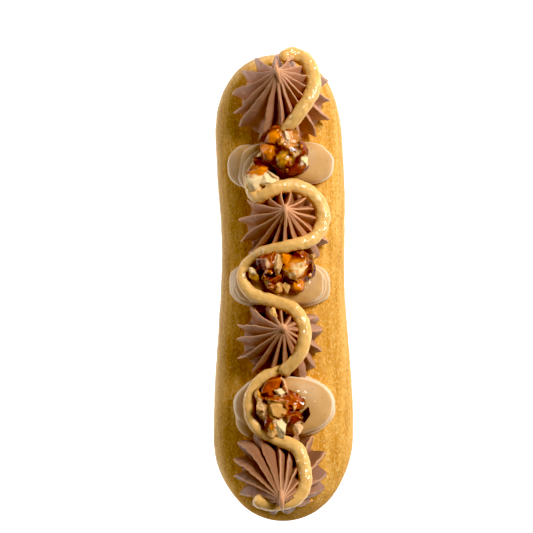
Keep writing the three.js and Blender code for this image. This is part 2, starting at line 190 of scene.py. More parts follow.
DOLLOPS = [
    {"name": "dollop_1", "corner": 2.3, "lip": 0.9, "layers": [
        slab((-10, 35.8), (6.4, 6.3), -2.5, 3),
        slab((-5.8, 34.6), (7.6, 7.6), -1, 4.7),
        slab((-4.6, 33.4), (7.5, 7.2), 0.2, 6),
        slab((3.8, 36.3), (11, 6.4), -2.5, 6.8),
    ]},
    {"name": "dollop_2", "corner": 2.9, "lip": 0.5, "layers": [
        slab((-1.3, 1), (15.1, 6.9), -2.5, 2.6),
        slab((-1.1, 1.1), (14.6, 6.7), 0.6, 3.9),
        slab((-1.4, 1.2), (13.7, 6.4), 1.8, 5.2),
        slab((-1.2, 1.4), (13.1, 6.2), 3, 6.6),
    ]},
    {"name": "dollop_3", "corner": 2.2, "lip": 0.8, "layers": [
        slab((-8.6, -38), (5.4, 5.6), -2.5, 2.8),
        slab((0.3, -34.2), (14.9, 9.2), -2.5, 4.2),
        slab((1.5, -33.8), (13.3, 8.4), 1.4, 6.8),
    ]},
]

# Syrup on the cream beside the nuts, as shares of a clump's pool, and vanilla seeds in the cream.
SYRUP_REACH = 1.8
SYRUP_FADE = 0.7
SPECK_RADIUS = 0.13
SPECKS = [
    (9.3, 32.2), (9.3, 33.9), (5, 31.6), (12.6, 37), (8, 40.4), (-12, 35),
    (11.9, -0.2), (8.7, -3), (13.2, 3.6), (6, -2.6), (-14, 0.4),
    (8.2, -29), (11, -31.5), (12, -36.4), (9, -40.2), (-12, -33), (6.6, -31.2),
]

# Praline line, on the solids' route: places in plan, with a lift where it lies higher or lower, and the
# line's own radius there.
STROKE_FLAT = 0.86
STROKE_SINK = 0.9
STROKE_STEP = 0.4
STROKE_SIDES = 44
STROKE_EASE = 190
STROKE_WAVE = (0.05, 5)
STROKE_LUMP = (0.09, 1.8)
STROKE_GRAIN = (0.08, 0.95)
STROKE_STRETCH = (1, 0.2, 0.2)
CAP_RINGS = 5
CURVE_STEPS = 40
STROKES = [
    {"name": "praline_line_1", "route": [
        (0.4, 67, -1.2, 1.9), (3, 67.6, -1.2, 2.1), (6.5, 65.4, -0.6, 2.15), (8.4, 61, -0.2, 2.2),
        (8.1, 56.4, 0, 2.15), (5.6, 52, 0, 2), (1.2, 46.2, 0, 1.9), (-5.8, 38, -1.6, 1.8),
        (-9.6, 31.2, -1.6, 1.8), (-7.4, 26.4, 0, 2), (-1.5, 29, 0, 2), (4.6, 29.2, 0, 2.1),
        (9.7, 25.4, 0, 2.1), (11.2, 19.5, 0, 2.05), (8.1, 14.3, 0, 2), (0.9, 12.1, 0, 1.8),
        (-7.2, 10, 0, 1.65), (-11.9, 4.8, 0, 1.65), (-9.8, -0.9, 0, 1.9), (-3.2, -3.5, 0, 1.85),
        (3, -6, 0, 1.95), (5.9, -12, 0, 2), (4.4, -18.7, 0, 1.95), (0.4, -23.1, 0, 1.8),
    ]},
    {"name": "praline_line_2", "route": [
        (0.6, -22.7, -1.8, 1.7), (-6.7, -26.4, 0, 1.8), (-9.9, -32.8, 0, 1.8), (-8.1, -39.6, 0, 1.75),
        (-2, -43.2, 0, 1.8), (3.8, -45.7, 0, 1.95), (5.9, -51.8, 0, 2), (5.6, -56.6, -0.8, 1.95),
        (3.4, -59.7, -2, 1.95), (-0.4, -61.2, -3.2, 1.95), (-4, -61.4, -2, 1.95),
        (-6.9, -60.8, -1.2, 1.9),
    ]},
]

# Hazelnuts in caramel. A tone is a colour, how bare of caramel it is and how crumbly.
TONES = {
    "dark": (0.085, 0.010, 0.001, 0, 0),
    "amber": (0.32, 0.045, 0.002, 0, 0),
    "rust": (0.50, 0.09, 0.003, 0, 0),
    "orange": (0.84, 0.235, 0.008, 0, 0),
    "honey": (0.92, 0.42, 0.05, 0, 0),
    "glow": (0.92, 0.36, 0.09, 0, 0),
    "peach": (0.92, 0.54, 0.28, 0.85, 0.6),
    "tan": (0.84, 0.43, 0.12, 0.75, 0.8),
    "pale": (0.80, 0.47, 0.20, 0.9, 1),
    "cream": (1, 0.76, 0.40, 1, 0.6),
    "kernel": (0.94, 0.71, 0.37, 0.85, 0.15),
    "toasted": (1, 0.74, 0.36, 0.9, 0.5),
    "crust": (1, 0.55, 0.18, 1, 0.5),
    "grey": (0.66, 0.40, 0.16, 0.85, 1),
    "burnt": (0.028, 0.012, 0.008, 1, 0),
}


# A piece of nut: its place in plan, half sizes, turn in degrees, how high its middle is above what
# carries it, and its tone. It may also be whole, which is round, or broken, or face a way, flat.
def nut(at, half, turn, rise, tone, **form):
    return {"at": at, "half": half, "turn": turn, "rise": rise, "tone": tone, **form}


# The solids' clumps, with more pieces, each on the dollop of that number, from 0. All rise from the
# dollop's top under the first piece, which in most is the pool of caramel that the rest sits in. Small
# bits are strewn over some, and syrup runs from some on to the cream.
CLUMPS = [
    {"name": "nut_clump_1", "dollop": 0, "strewn": True, "syrup": False, "pieces": [
        nut((0.2, 39.2), (5.6, 5.8, 3.2), 0, 2, "dark"),
        nut((-2.4, 43), (2.9, 2.5, 2.8), 20, 3, "orange"),
        nut((1.8, 42.5), (3, 2.9, 3), 70, 3, "glow"),
        nut((-4.4, 39.2), (2.4, 3.2, 2.8), 25, 2.7, "orange"),
        nut((0, 37), (2.7, 2.6, 2.8), 40, 3, "honey", whole=True),
        nut((3.5, 34.6), (3.3, 1.9, 2.2), 18, 1.8, "amber", whole=True),
        nut((-0.8, 34.4), (1.7, 1.7, 1.8), 0, 1.8, "amber"),
        nut((5.3, 40.2), (1.5, 2.6, 2.2), 15, 1.9, "amber"),
        nut((-2.2, 45.8), (1.7, 1.2, 1.7), -15, 2, "amber", broken=True),
        nut((0.8, 42.9), (1, 2, 1.2), 20, 5.1, "peach", broken=True),
        nut((3, 38.8), (1.7, 1.6, 2), 10, 3.2, "pale", broken=True),
        nut((5.8, 36.7), (1.6, 1.6, 1.6), 35, 2.4, "cream", broken=True),
        nut((-5.6, 35.9), (3.2, 1.5, 1.4), -18, 1.4, "rust"),
    ]},
    {"name": "nut_half_1", "dollop": 0, "strewn": False, "syrup": False, "pieces": [
        nut((-8.2, 30.7), (2.9, 2.6, 2.7), 20, 2.3, "kernel"),
        nut((-4.8, 31.2), (3.5, 2.2, 2.7), -15, 2.4, "kernel"),
        nut((-7.3, 33.4), (3.5, 1.8, 2.6), 12, 2.3, "orange"),
        nut((-6.6, 34.9), (3.1, 1.1, 2), 8, 1.6, "rust"),
        nut((-3.1, 32.5), (2.6, 0.8, 2), -38, 2.4, "grey"),
    ]},
    {"name": "nut_clump_2_left", "dollop": 1, "strewn": True, "syrup": True, "pieces": [
        nut((-3.6, 5), (3.8, 5, 2.4), 10, 0.8, "dark"),
        nut((-3.6, 8.1), (4, 3.7, 3.2), -10, 2, "amber"),
        nut((-4.7, 7.2), (0.8, 1.4, 0.9), 20, 4.9, "peach", broken=True),
        nut((-1.9, 7.4), (1.3, 3, 2), -4, 3.9, "grey", broken=True),
        nut((0.2, 9), (1.9, 2.8, 2.6), 20, 2.3, "orange"),
        nut((-2.8, 3.4), (2.4, 1.9, 2.2), 30, 1.8, "amber"),
        nut((-4.6, 2), (1, 2.8, 1.6), 22, 1.3, "grey", broken=True),
        nut((-1.7, 0.5), (1.5, 1.6, 1.7), 15, 1.2, "tan"),
    ]},
    {"name": "nut_piece_2", "dollop": 1, "strewn": False, "syrup": False, "pieces": [
        nut((-8.4, 4), (2.2, 1.9, 1.8), -35, 1, "honey", broken=True),
        nut((-8.9, 4.9), (1.5, 0.9, 1.4), -50, 1.6, "cream"),
    ]},
    {"name": "nut_clump_2_right", "dollop": 1, "strewn": True, "syrup": True, "pieces": [
        nut((4, 4.8), (4.2, 4.6, 2.4), 0, 0.8, "amber"),
        nut((4.5, 9.6), (2.5, 1.8, 2.4), 15, 1.8, "amber"),
        nut((3.6, 5.9), (3.9, 3.2, 3), 20, 3, "orange", facing=(0.1, -0.2, 1)),
        nut((3.7, 5.4), (2.9, 2.4, 1.4), 20, 4.1, "toasted", broken=True),
        nut((4.1, 1.2), (2.1, 2.2, 2.1), -15, 1.7, "orange"),
        nut((1, 0.9), (1.6, 1.9, 1.7), 5, 1.4, "tan", broken=True),
        nut((7.6, 6), (1.4, 2.7, 2), 14, 1.5, "dark"),
    ]},
    {"name": "nut_clump_3", "dollop": 2, "strewn": True, "syrup": True, "pieces": [
        nut((-1.4, -34.2), (6.2, 6.4, 2.5), 0, 1, "amber"),
        nut((-3, -27.7), (1.9, 4, 1.9), -45, 1.8, "rust", facing=(0, 0, 1)),
        nut((0.2, -27.5), (0.8, 2.4, 1.8), 19, 1.6, "peach", broken=True),
        nut((-1.1, -29.6), (2, 1.1, 1.5), -8, 3, "cream", facing=(0.2, 0.2, 1)),
        nut((-7.4, -30.6), (1, 1.9, 1.6), 12, 1, "honey"),
        nut((2.6, -32.6), (3.1, 2.7, 1.7), 22, 1.9, "rust", facing=(0.1, 0.1, 1)),
        nut((3.1, -36.6), (2.5, 2, 2), 10, 1.5, "amber"),
        nut((-2.3, -31.6), (2.9, 1.1, 2.4), -4, 2.4, "amber"),
        nut((-2.3, -33.9), (3.1, 2.8, 2.7), 10, 2.6, "tan", facing=(0.2, -0.1, 1)),
        nut((-6, -34.4), (1.8, 3.2, 2.2), 22, 1.5, "pale", broken=True),
        nut((-2.8, -40.4), (1.9, 2, 1.9), 10, 1.8, "tan", facing=(0.1, 0, 1)),
        nut((-0.8, -39.5), (2.5, 3, 2.4), 20, 2, "cream", facing=(0.5, 0.2, 1)),
        nut((4, -39.9), (1.6, 2.2, 1.7), -8, 1.3, "peach", facing=(0.1, 0, 1)),
        nut((6.4, -36.1), (1.4, 2.2, 1.5), -18, 1.5, "burnt", broken=True),
    ]},
]

# Loose crumbs of nut, each on the cream or the choux below it.
CRUMBS = [
    nut((-3, -6.9), (1, 1.3, 1), 15, 0.7, "crust", broken=True),
    nut((1.2, 66.2), (1.4, 1, 0.9), 25, 0.3, "peach", broken=True),
    nut((8.2, 9.7), (1.1, 0.9, 0.7), 0, 0.3, "grey", broken=True),
    nut((7.8, -61.6), (0.8, 0.7, 0.6), 40, 0.2, "honey", broken=True),
]
CRUMB_JITTER = (0.2, 0.6)

# Bits strewn over a clump: how many and of which tones, their sizes, how far out they lie, their widths,
# and how high they sit at the middle and at the rim, as shares of the pool.
BITS = 14
BIT_TONES = ["dark", "amber", "orange", "amber", "glow", "dark", "tan", "orange", "amber", "rust"]
BIT_SIZE = (0.5, 1.2)
BIT_SPREAD = 0.95
BIT_WIDTH = (0.6, 1)
BIT_RISE = (1.35, 0.7)

# Breaks that shape a piece from a ball of radius 1, and how it grows and swells after them.
BALL_DETAIL = 4
BREAKS = 9
BREAK_MIDDLE = (0.5, 0.5, 0.4)
BROKEN = {"cuts": (0.42, 0.75), "growth": 1.22, "swell": (0.05, 0.6)}
KEPT = {"cuts": (0.62, 0.92), "growth": 1.12, "swell": (0.1, 0.6)}
FACE_CUT = 0.5

# The skin of caramel over a clump, which fills its crevices, and how the pieces' tones meet in it.
CLUMP_VOXEL = 0.12
CLUMP_SOFTEN = 0.5
RIDGE_ROUNDS = 8
RIDGE_DEPTH = 0.07
CREVICE_ROUNDS = 30
CREVICE_DEPTH = 0.6
CARAMEL_WAVE = (0.15, 1.6)
CARAMEL_RIPPLE = (0.04, 0.7)
FLESH_GRAIN = (0.12, 0.6)
# Painted shade on a clump's steep sides fades in as the surface's upward share falls between these.
STEEP_FADE = (0.7, 0.1)
WET_BLEND = 9
BARE_BLEND = 14
BORDER_WAVE = (0.3, 1.1)
# Caramel on each wet piece is painted darker toward its rim, as painted shade on its sides.
RIM_SHADE_FADE = (0.65, 1)
RIM_SHADE = 0.7

# Tones of the looks. A pair is what a cloudy colour lies between. A tone with a number is laid over
# the colour where its own mask is, by that share.
CHOUX_SIDE = ((0.61, 0.285, 0.05), (0.81, 0.45, 0.12))
CHOUX_TOP = ((0.58, 0.245, 0.032), (0.78, 0.40, 0.085))
CHOUX_TONES = {
    "crumb": ((0.96, 0.64, 0.23), 0.45),
    "pores": ((0.44, 0.15, 0.01), 0.55),
    # pale: the low sides' paler bake, laid on most strongly on the left as painted bounce light from the
    # floor.
    "pale": ((0.98, 0.82, 0.58), 0.75),
    # end: painted shade darkening the foot end of the log.
    "end": ((0.45, 0.23, 0.08), 0.5),
    "base": ((0.60, 0.28, 0.06), 0.8),
}
CHOCOLATE = ((0.45, 0.192, 0.089), (0.53, 0.228, 0.107))
# Painted light on the chocolate: painted shade over a whole rosette, painted sheen on webs and lobes,
# painted shade on the dark sides of grooves and painted highlights on the crests; ash is a paler grey.
CHOCOLATE_TONES = {
    "dull": ((0.27, 0.12, 0.06), 1),
    "skirt": ((0.34, 0.185, 0.115), 0.7),
    "gap": ((0.125, 0.05, 0.024), 0.8),
    "crest": ((0.84, 0.44, 0.22), 0.8),
    "ash": ((0.55, 0.295, 0.185), 1),
}
VANILLA = ((0.54, 0.29, 0.10), (0.62, 0.345, 0.125))
# The pale lip tone is a painted highlight along each layer's rim.
VANILLA_TONES = {"lip": ((0.90, 0.70, 0.48), 1)}
VANILLA_SEED = (0.02, 0.012, 0.008)
PRALINE = ((0.84, 0.465, 0.13), (0.94, 0.56, 0.19))
PRALINE_TONES = {"fleck": ((0.56, 0.27, 0.05), 0.15)}
CARAMEL_TONES = {
    "cloud": ((0.16, 0.022, 0.001), 0.5),
    "ridge": ((0.90, 0.34, 0.03), 0.35),
    # Painted shade on steep sides.
    "steep": ((0.12, 0.016, 0.001), 0.4),
}
FLESH_TONES = {
    "pits": ((0.42, 0.17, 0.04), 0.5),
    "ridge": ((1, 0.80, 0.50), 0.5),
    "cloud": ((0.86, 0.48, 0.16), 0.4),
    # Painted shade on steep sides.
    "steep": ((0.55, 0.27, 0.10), 0.6),
}
# Crevices are darker: caramel pools there, and shade is painted there too.
CREVICE_TONES = {"deep": ((0.09, 0.012, 0.002), 0.85)}

# Bands of the choux's colour: an axis, and where along it the band goes from nothing to all.
CHOUX_BANDS = {
    "crown": ("Z", 18, 27),
    "belly": ("Z", 23, 12),
    "base": ("Z", 12, 3),
    "left": ("X", 26, -10),
    "trunk": ("Y", -66, -54),
}

# Camera: straight down, as the photograph is taken.
CAMERA_AT = (-4.97, 6.40, 500)
SENSOR = 36
HALF_VIEW = 0.16494  # tangent of half the angle of view

# Light, in metres: a soft key from the upper right, a low card and a small window at the left, and a
# dim room. The floor glows, and a far wall does behind it. What is under the black point goes black.
LIGHTS = {
    "key": {"azimuth": 39, "elevation": 46, "distance": 1.1, "size": (0.44, 0.28), "power": 14.5},
    "card": {"azimuth": 172, "elevation": 3, "distance": 0.8, "size": (0.25, 0.12), "power": 1.2},
    "window": {"azimuth": 185, "elevation": 52, "distance": 1.1, "size": (0.09, 0.06), "power": 0.36},
}
ROOM_LIGHT = 0.02
FLOOR_TONE = 0.15
FLOOR_GLOW = 1.35
FLOOR_SIZE = 12
FLOOR_DROP = 0.0002
WALL_RADIUS = 4
WALL_HEIGHT = 8
BLACK_POINT = 0.02


# Plain helpers.

def smooth(t):
    t = np.clip(t, 0, 1)
    return t * t * (3 - 2 * t)


# Goes smoothly from 0 to 1 as a value goes from the start to the end.
def ramp(value, start, end):
    return smooth((value - start) / (end - start))


def lerp(a, b, t):
    return a + (b - a) * t


# A number from 0 to 1 that is always the same for the same key and seed.
def draw(key, seed):
    wave = np.sin(np.asarray(key) * HASH["key"] + seed * HASH["seed"]) * HASH["height"]
    return wave - np.floor(wave)


# Rises from 0 at t = 0 to 1 at t = 1 as a rounded end does.
def round_off(t, power):
    left = 1 - np.clip(t, 0, 1)
    return (1 - left ** power) ** (1 / power)


def signed_power(value, power):
    return np.sign(value) * np.abs(value) ** power


# Angles round a circle in equal steps.
def circle(count):
    return np.linspace(0, 2 * math.pi, count, endpoint=False)


# Smooth noise from -1 to 1 at points, with features of about the given size.
def fuzz(points, size, seed=0):
    flat = np.asarray(points, float).reshape(-1, 3) / size + seed * SEED_SHIFT
    values = np.array([noise.noise(Vector(p)) for p in flat])
    return values.reshape(np.shape(points)[:-1])


# Unevenness at points, from a height and the size of its features.
def uneven(points, swell, seed):
    height, size = swell
    return height * fuzz(points, size, seed)


# Small moves every way at points.
def jitter(points, swell, seed):
    return np.stack([uneven(points, swell, seed + axis) for axis in range(3)], axis=-1)


# Choux log.

def centre_line(y):
    return HEAD_DRIFT["reach"] * ramp(y, HEAD_DRIFT["from"], HEAD_DRIFT["to"])


def from_end(y):
    return LENGTH / 2 - np.abs(y)


def half_width(y):
    to_head = lerp(WAIST["half"], HEAD["half"], ramp(y, WAIST["at"], HEAD["at"]))
    to_foot = lerp(WAIST["half"], FOOT["half"], ramp(y, WAIST["at"], FOOT["at"]))
    body = np.where(y > WAIST["at"], to_head, to_foot)
    head_end = round_off(from_end(y) / HEAD["end"], HEAD["power"])
    foot_end = round_off(from_end(y) / FOOT["end"], FOOT["power"])
    return body * np.where(y > 0, head_end, foot_end)


def crown_rise(y):
    return (CROWN - BELLY) * round_off(from_end(y) / CROWN_END["length"], CROWN_END["power"])


# Height of the choux's top at places in plan.
def choux_top(x, y):
    share = np.clip(np.abs(x - centre_line(y)) / np.maximum(half_width(y), 1e-6), 0, 1)
    return BELLY + crown_rise(y) * (1 - share ** SECTION_POWER) ** (1 / SECTION_POWER)


# Rosettes.

def crest_reach(share):
    above = np.clip((share - RIM_RISE) / (1 - RIM_RISE), 0, 1)
    below = ramp(share, 0, RIM_RISE)
    return np.where(share > RIM_RISE, 1 - above ** CREST_POWER, lerp(ROOT_REACH, 1, below))


def lean_at(rosette, share):
    bend = np.maximum(share, 0) ** LEAN_POWER
    return rosette["at"][0] + rosette["lean"][0] * bend, rosette["at"][1] + rosette["lean"][1] * bend


def seat_at(rosette, x, y):
    seat = choux_top(*rosette["at"])
    drop = seat - choux_top(x, y)
    return seat - SAG_LIMIT * (1 - np.exp(-drop / SAG_LIMIT))


# How deep the grooves between the fins are, as a share of the crests' reach.
def groove_depth(share):
    above = np.clip((share - RIM_RISE) / (1 - RIM_RISE), 0, 1)
    below = lerp(GROOVE["root"], GROOVE["rim"], ramp(share, 0, RIM_RISE))
    return np.where(share > RIM_RISE, lerp(GROOVE["rim"], GROOVE["flank"], smooth(2 * above)), below)


# Height of the crests' envelope at places in plan, or the choux where the rosette isn't.
def rosette_top(rosette, x, y):
    seat = choux_top(*rosette["at"])
    top = choux_top(x, y)
    for share in np.linspace(RIM_RISE, 1, ENVELOPE_STEPS):
        middle_x, middle_y = lean_at(rosette, share)
        out = np.hypot((x - middle_x) / rosette["half"][0], (y - middle_y) / rosette["half"][1])
        height = rosette["height"] * share + lerp(seat_at(rosette, x, y), seat, share)
        top = np.where(out <= crest_reach(share), height, top)
    return top


# Dollops.

def dollop_top(dollop, x, y):
    rise = np.zeros_like(np.asarray(x, float))
    corner = dollop["corner"]
    for layer in dollop["layers"]:
        out_x = np.abs(x - layer["at"][0]) / layer["half"][0]
        out_y = np.abs(y - layer["at"][1]) / layer["half"][1]
        out = (out_x ** corner + out_y ** corner) ** (1 / corner)
        thick = (layer["top"] - layer["foot"]) / 2
        bulge = np.clip(1 - out ** LAYER_POWER, 0, 1) ** (1 / LAYER_POWER)
        height = layer["foot"] + thick * (1 + bulge) + LAYER_DOME * (1 - out ** 2)
        rise = np.where(out < 1, np.maximum(rise, height), rise)
    return choux_top(x, y) + rise


def carrier_top(x, y):
    tops = [rosette_top(rosette, x, y) for rosette in ROSETTES]
    tops += [dollop_top(dollop, x, y) for dollop in DOLLOPS]
    return np.max(tops, axis=0)


# Meshes.

# A closed skin over rings of points, each ring with as many points, shut by a point at each end.
def skin(rings, start, end):
    rows, columns = rings.shape[:2]
    points = np.vstack([[start], rings.reshape(-1, 3), [end]])
    index = 1 + np.arange(rows * columns).reshape(rows, columns)
    beside = np.roll(index, -1, axis=1)
    quads = np.stack([index[:-1], beside[:-1], beside[1:], index[1:]], axis=-1).reshape(-1, 4)
    first = [(0, b, a) for a, b in zip(index[0], beside[0])]
    last = [(len(points) - 1, a, b) for a, b in zip(index[-1], beside[-1])]
    return points, quads.tolist() + first + last


# A value for every point of a skin, from a value for every ring point.
def skin_values(values, start, end):
    return np.concatenate([[start], values.reshape(-1), [end]])


def ball(detail):
    bm = bmesh.new()
    bmesh.ops.create_icosphere(bm, subdivisions=detail, radius=1)
    points = np.array([v.co for v in bm.verts])
    faces = [[v.index for v in f.verts] for f in bm.faces]
    bm.free()
    return points, faces


# Several meshes as one: a list of (points, faces, values by attribute name).
def gather(parts):
    points, faces, values = [], [], {}
    for part_points, part_faces, part_values in parts:
        shift = sum(len(p) for p in points)
        points.append(part_points)
        faces += [[i + shift for i in face] for face in part_faces]
        for name, array in part_values.items():
            values.setdefault(name, []).append(array)
    return np.vstack(points), faces, {name: np.concatenate(arrays) for name, arrays in values.items()}


def add_object(name, points, faces, values, materials):
    mesh = bpy.data.meshes.new(name)
    mesh.from_pydata((np.asarray(points) * MM).tolist(), [], faces)
    for key, array in values.items():
        flat = np.asarray(array, float)
        if flat.ndim == 1:
            mesh.attributes.new(key, "FLOAT", "POINT").data.foreach_set("value", flat)
        else:
            colours = np.hstack([flat, np.ones((len(flat), 1))])
            mesh.attributes.new(key, "FLOAT_COLOR", "POINT").data.foreach_set("color", colours.reshape(-1))
    for material in materials:
        mesh.materials.append(material)
    mesh.shade_smooth()
    obj = bpy.data.objects.new(name, mesh)
    bpy.context.scene.collection.objects.link(obj)
    return obj


def settle(obj, slot, *nodes):
    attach(obj, "root")
    if nodes:
        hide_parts(*nodes)


# Choux skin: sections along the log, uneven as baked dough is.
def choux_mesh():
    along = np.linspace(0, math.pi, CHOUX_STATIONS + 2)[1:-1]
    y = (-np.cos(along) * LENGTH / 2)[:, None]
    around = circle(CHOUX_SIDES)[None, :]
    across = signed_power(np.cos(around), 2 / SECTION_POWER)
    up = signed_power(np.sin(around), 2 / SECTION_POWER)
    under = KEEL * round_off(from_end(y) / FOOT["end"], FOOT["power"])
    rise = np.where(up > 0, crown_rise(y), under)
    x = centre_line(y) + across * half_width(y)
    rings = np.stack([x, y + 0 * around, BELLY + up * rise], axis=-1)
    swell = uneven(rings * CRUST_STRETCH, CRUST_WAVE, 1)
    swell += uneven(rings, CRUST_LUMP, 2) + uneven(rings, CRUST_GRAIN, 3)
    swell *= smooth(from_end(y) / CRUST_FADE)
    rings[..., 0] += across * swell
    rings[..., 2] += up * swell
    rings[..., 2] = np.maximum(rings[..., 2], 0)
    end = LENGTH / 2
    ends = [(centre_line(-end), -end, BELLY), (centre_line(end), end, BELLY)]
    return *skin(rings[:, ::-1], *ends), {}


# A smooth curve through points, cut into about equal steps.
def curve_through(points, step):
    points = np.asarray(points, float)
    padded = np.vstack([2 * points[0] - points[1], points, 2 * points[-1] - points[-2]])
    samples = []
    for p0, p1, p2, p3 in zip(padded, padded[1:], padded[2:], padded[3:]):
        for t in np.linspace(0, 1, CURVE_STEPS, endpoint=False):
            samples.append(
                0.5 * (2 * p1 + (p2 - p0) * t + (2 * p0 - 5 * p1 + 4 * p2 - p3) * t ** 2
                       + (3 * p1 - p0 - 3 * p2 + p3) * t ** 3)
            )
    samples.append(points[-1])
    samples = np.array(samples)
    run = np.concatenate([[0], np.cumsum(np.linalg.norm(np.diff(samples[:, :2], axis=0), axis=1))])
    places = np.linspace(0, run[-1], max(2, round(run[-1] / step)))
    return np.stack([np.interp(places, run, column) for column in samples.T], axis=-1)


# Directions along, across and above a path.
def path_frames(path):
    ahead = np.gradient(path, axis=0)
    ahead /= np.linalg.norm(ahead, axis=1, keepdims=True)
    across = np.cross(ahead, (0, 0, 1))
    across /= np.linalg.norm(across, axis=1, keepdims=True)
    return ahead, across, np.cross(across, ahead)


# A rope of round sections along a path, with round ends.
def rope_mesh(path, radius, flat=1, sides=STROKE_SIDES):
    ahead, across, above = path_frames(path)
    radius = np.broadcast_to(radius, (len(path), sides)).copy()
    turn = circle(sides)[None, :, None]
    spread = np.cos(turn) * across[:, None] + flat * np.sin(turn) * above[:, None]
    rings = path[:, None] + radius[..., None] * spread
    caps, tips = [], []
    for end, sign in ((0, -1), (-1, 1)):
        outward = sign * ahead[end] * radius[end].mean()
        wide = radius[end][:, None] * spread[end]
        lifts = np.linspace(0, math.pi / 2, CAP_RINGS + 2)[1:-1]
        caps.append([path[end] + outward * math.sin(lift) + wide * math.cos(lift) for lift in lifts])
        tips.append(path[end] + outward)
    rings = np.concatenate([np.array(caps[0])[::-1], rings, np.array(caps[1])])
    return skin(rings, *tips)


# A rosette's grid: the height of each row and, for each column, its place round the rosette counted in
# fins, its fin, and how far it is from the fin's crest, 0, to the groove, 1.
def fin_grid():
    rows = np.linspace(0, 1, ROSETTE_ROWS) ** ROW_POWER
    share = np.concatenate([[BURIED, SUNK_ROW], rows])[:-1, None]
    phase = (np.arange(TEETH * COLUMNS_PER_TOOTH) / COLUMNS_PER_TOOTH)[None, :]
    tooth = np.round(phase)
    return share, phase, tooth % TEETH, 2 * np.abs(phase - tooth)


# A value round a rosette from its list of (angle in degrees, spread, strength), if it has one.
def round_about(rosette, phase, name):
    angle = np.degrees(phase * 2 * math.pi / TEETH) + rosette["turn"]
    value = np.zeros_like(phase)
    for middle, spread, strength in rosette.get(name, []):
        off = (angle - middle + 180) % 360 - 180
        value = np.maximum(value, strength * np.exp(-(off / spread) ** 2))
    return value


# Noise along each fin: its course is the noise's step from fin to fin, its step up the fin, and a shift.
def fin_noise(grid, course, seed):
    share, _, tooth, _ = grid
    places = np.broadcast_arrays(tooth * course[0], share * course[1], 0 * share + course[2])
    return fuzz(np.stack(places, axis=-1), 1, seed)


# Half the way from crest to crest, in millimetres.
def half_gap(rosette, share):
    return np.maximum(math.pi * rosette["half"][0] * crest_reach(share) / TEETH, LEAST_GAP)


# How far out the fins reach, as a share of the rosette's half sizes.
def fin_reach(rosette, grid, blunt, seed):
    share, phase, tooth, away = grid
    power = lerp(rosette["sharp"], FACE_POWER, ramp(share, RIM_RISE, RIM_RISE + FACE_RISE))
    edge = rosette["edge"] / half_gap(rosette, share)
    fin = np.clip(1 - np.hypot(away, edge), 0, 1) ** power
    fin = lerp(fin, np.cos(away * math.pi / 2) ** BLUNT_POWER, blunt)
    hub = 1 - HUB_FILL * ramp(share, *HUB_FADE)
    depth = groove_depth(share) * (1 - BLUNT_FILL * blunt) * hub
    longer = TOOTH_UNEVEN * (draw(tooth, seed) - TOOTH_BIAS) * (1 - away)
    trim = round_about(rosette, phase, "trim") * ramp(share, *TRIM_FADE)
    rag = rosette["ragged"] * (fin_noise(grid, RAG_COURSE, seed) - RAG_BIAS) * fin ** 2 / rosette["half"][0]
    return crest_reach(share) * (1 + longer - depth * (1 - fin)) * (1 - trim) + rag * ramp(share, *RAG_FADE)


# The direction of the grid's points from the rosette's middle, in radians.
def fin_angle(rosette, grid, seed):
    share, phase, tooth, away = grid
    drift = rosette["sway"] * fin_noise(grid, SWAY_COURSE, seed + 5)
    drift += TOOTH_SHIFT * (draw(tooth, seed + 9) - 0.5)
    drift += SWAY_RAGGED * rosette["ragged"] * fin_noise(grid, RIPPLE_COURSE, seed + 7)
    fold = rosette["fold"] * away * ramp(share, RIM_RISE, RIM_RISE + FOLD_RISE)
    return (phase + drift * (1 - away) + fold) * 2 * math.pi / TEETH + math.radians(rosette["turn"])


# Where a rosette has painted highlights on its crests, a painted grey sheen on its webs and lobes, and
# painted shade on the dark sides of its grooves.
def fin_looks(rosette, grid, blunt):
    share, phase, _, away = grid
    crest = np.exp(-(away * half_gap(rosette, share) / CREST_WIDTH) ** 2)
    crest = crest * ramp(share, 0, RIM_RISE) * (1 - CREST_BLUNT * blunt)
    # Webs and lobes get a painted grey sheen, the pale floor reflected in the cream.
    web = ramp(away, *WEB_FADE) * (1 - ramp(share, 0, SKIRT_RISE))
    skirt = np.maximum(web, blunt * ramp(share, *LOBE_FADE))
    # The dark side of each groove is painted shade, rising from a share of the way to the next crest.
    after = phase - np.floor(phase) if rosette["fold"] > 0 else np.ceil(phase) - phase
    dark = ramp(after, rosette["dark"], rosette["dark"] + DARK_SPREAD)
    dark = dark * ramp(share, *DARK_FOOT_FADE) * ramp(share, *DARK_TOP_FADE)
    gap = dark * (1 - blunt) * (1 - crest)
    return {
        "crest": skin_values(crest, 0, 1),
        "skirt": skin_values(skirt, 1, 0),
        "gap": skin_values(gap, 0, 0),
    }


